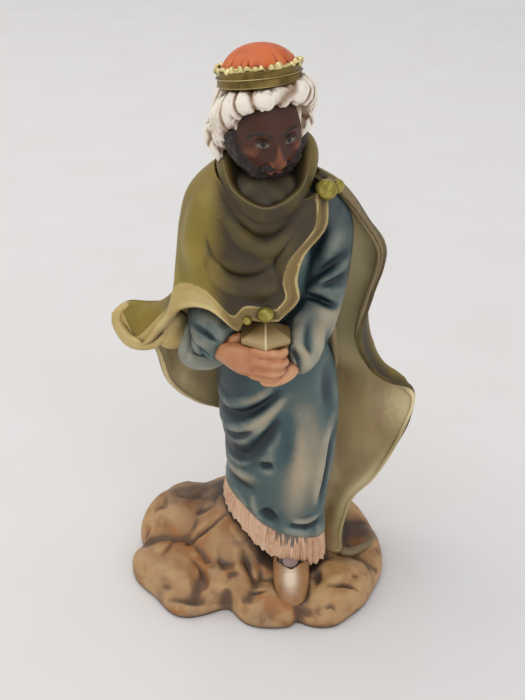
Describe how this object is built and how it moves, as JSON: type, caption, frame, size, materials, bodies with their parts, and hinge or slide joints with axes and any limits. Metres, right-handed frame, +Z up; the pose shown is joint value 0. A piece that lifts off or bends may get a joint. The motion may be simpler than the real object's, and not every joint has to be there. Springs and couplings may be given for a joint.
{
  "type": "presepe figure",
  "caption": "Robed king for a nativity scene, cast with its rocky base, crowned over long curls, wrapped in a wide mantle and holding a small casket in both hands.",
  "frame": {"origin": "middle of the flat underside of the rocky base, on the surface it stands on", "axes": "+X towards the figure's left hand, -Y the way the figure faces, +Z up"},
  "size_m": [0.0646, 0.0389, 0.1206],
  "materials": {
    "painted_resin": "hand-painted satin with a dark wash in the hollows and gold on the trims"
  },
  "bodies": {
    "root": {"figure": "painted_resin"}
  },
  "joints": []
}
